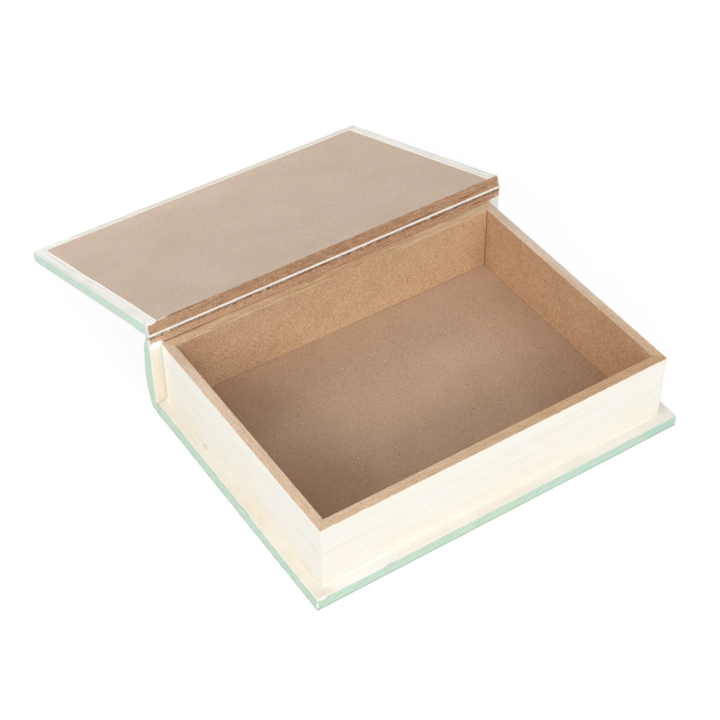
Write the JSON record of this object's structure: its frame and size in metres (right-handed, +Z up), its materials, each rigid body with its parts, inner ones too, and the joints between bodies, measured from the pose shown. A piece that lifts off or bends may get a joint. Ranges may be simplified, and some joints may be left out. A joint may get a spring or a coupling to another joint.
{
  "type": "book box",
  "caption": "Keepsake box shaped as a book: an open tray on a cover board, a round-backed spine and a lid hinged on a strip of cloth.",
  "frame": {"origin": "centre of the bottom cover's underside, on the table", "axes": "+X along the spine to the right as the box is read with its fore edge towards you, +Y from the fore edge to the spine, +Z up; the lid lies open past the spine at rest"},
  "size_m": [0.2, 0.2783, 0.055],
  "materials": {
    "bottom_cover": "fibreboard painted matt mint outside and cream on the margin, bare inside the tray",
    "page_walls": "fibreboard painted matt cream outside, bare inside and along the top edge",
    "back_wall": "bare fibreboard",
    "spine": "fibreboard painted matt mint outside, cream on the inner face at the ends",
    "top_cover": "fibreboard, bare inside with a cream margin on three sides, painted matt mint outside",
    "hinge_cloth": "thin cotton cloth, painted over outside the fold"
  },
  "bodies": {
    "box": {"bottom_cover": "bottom_cover", "front_wall": "page_walls", "back_wall": "back_wall", "left_wall": "page_walls", "right_wall": "page_walls", "spine_board": "spine", "hinge_cloth_spine_leaf": "hinge_cloth"},
    "lid": {"top_cover": "top_cover", "hinge_cloth_lid_leaf": "hinge_cloth"}
  },
  "joints": [
    {"name": "lid_hinge", "type": "hinge", "parent": "box", "child": "lid", "pos_m": [0, 0.0712, 0.0491], "axis": [1, 0, 0], "range_deg": [0, 200.58]}
  ]
}
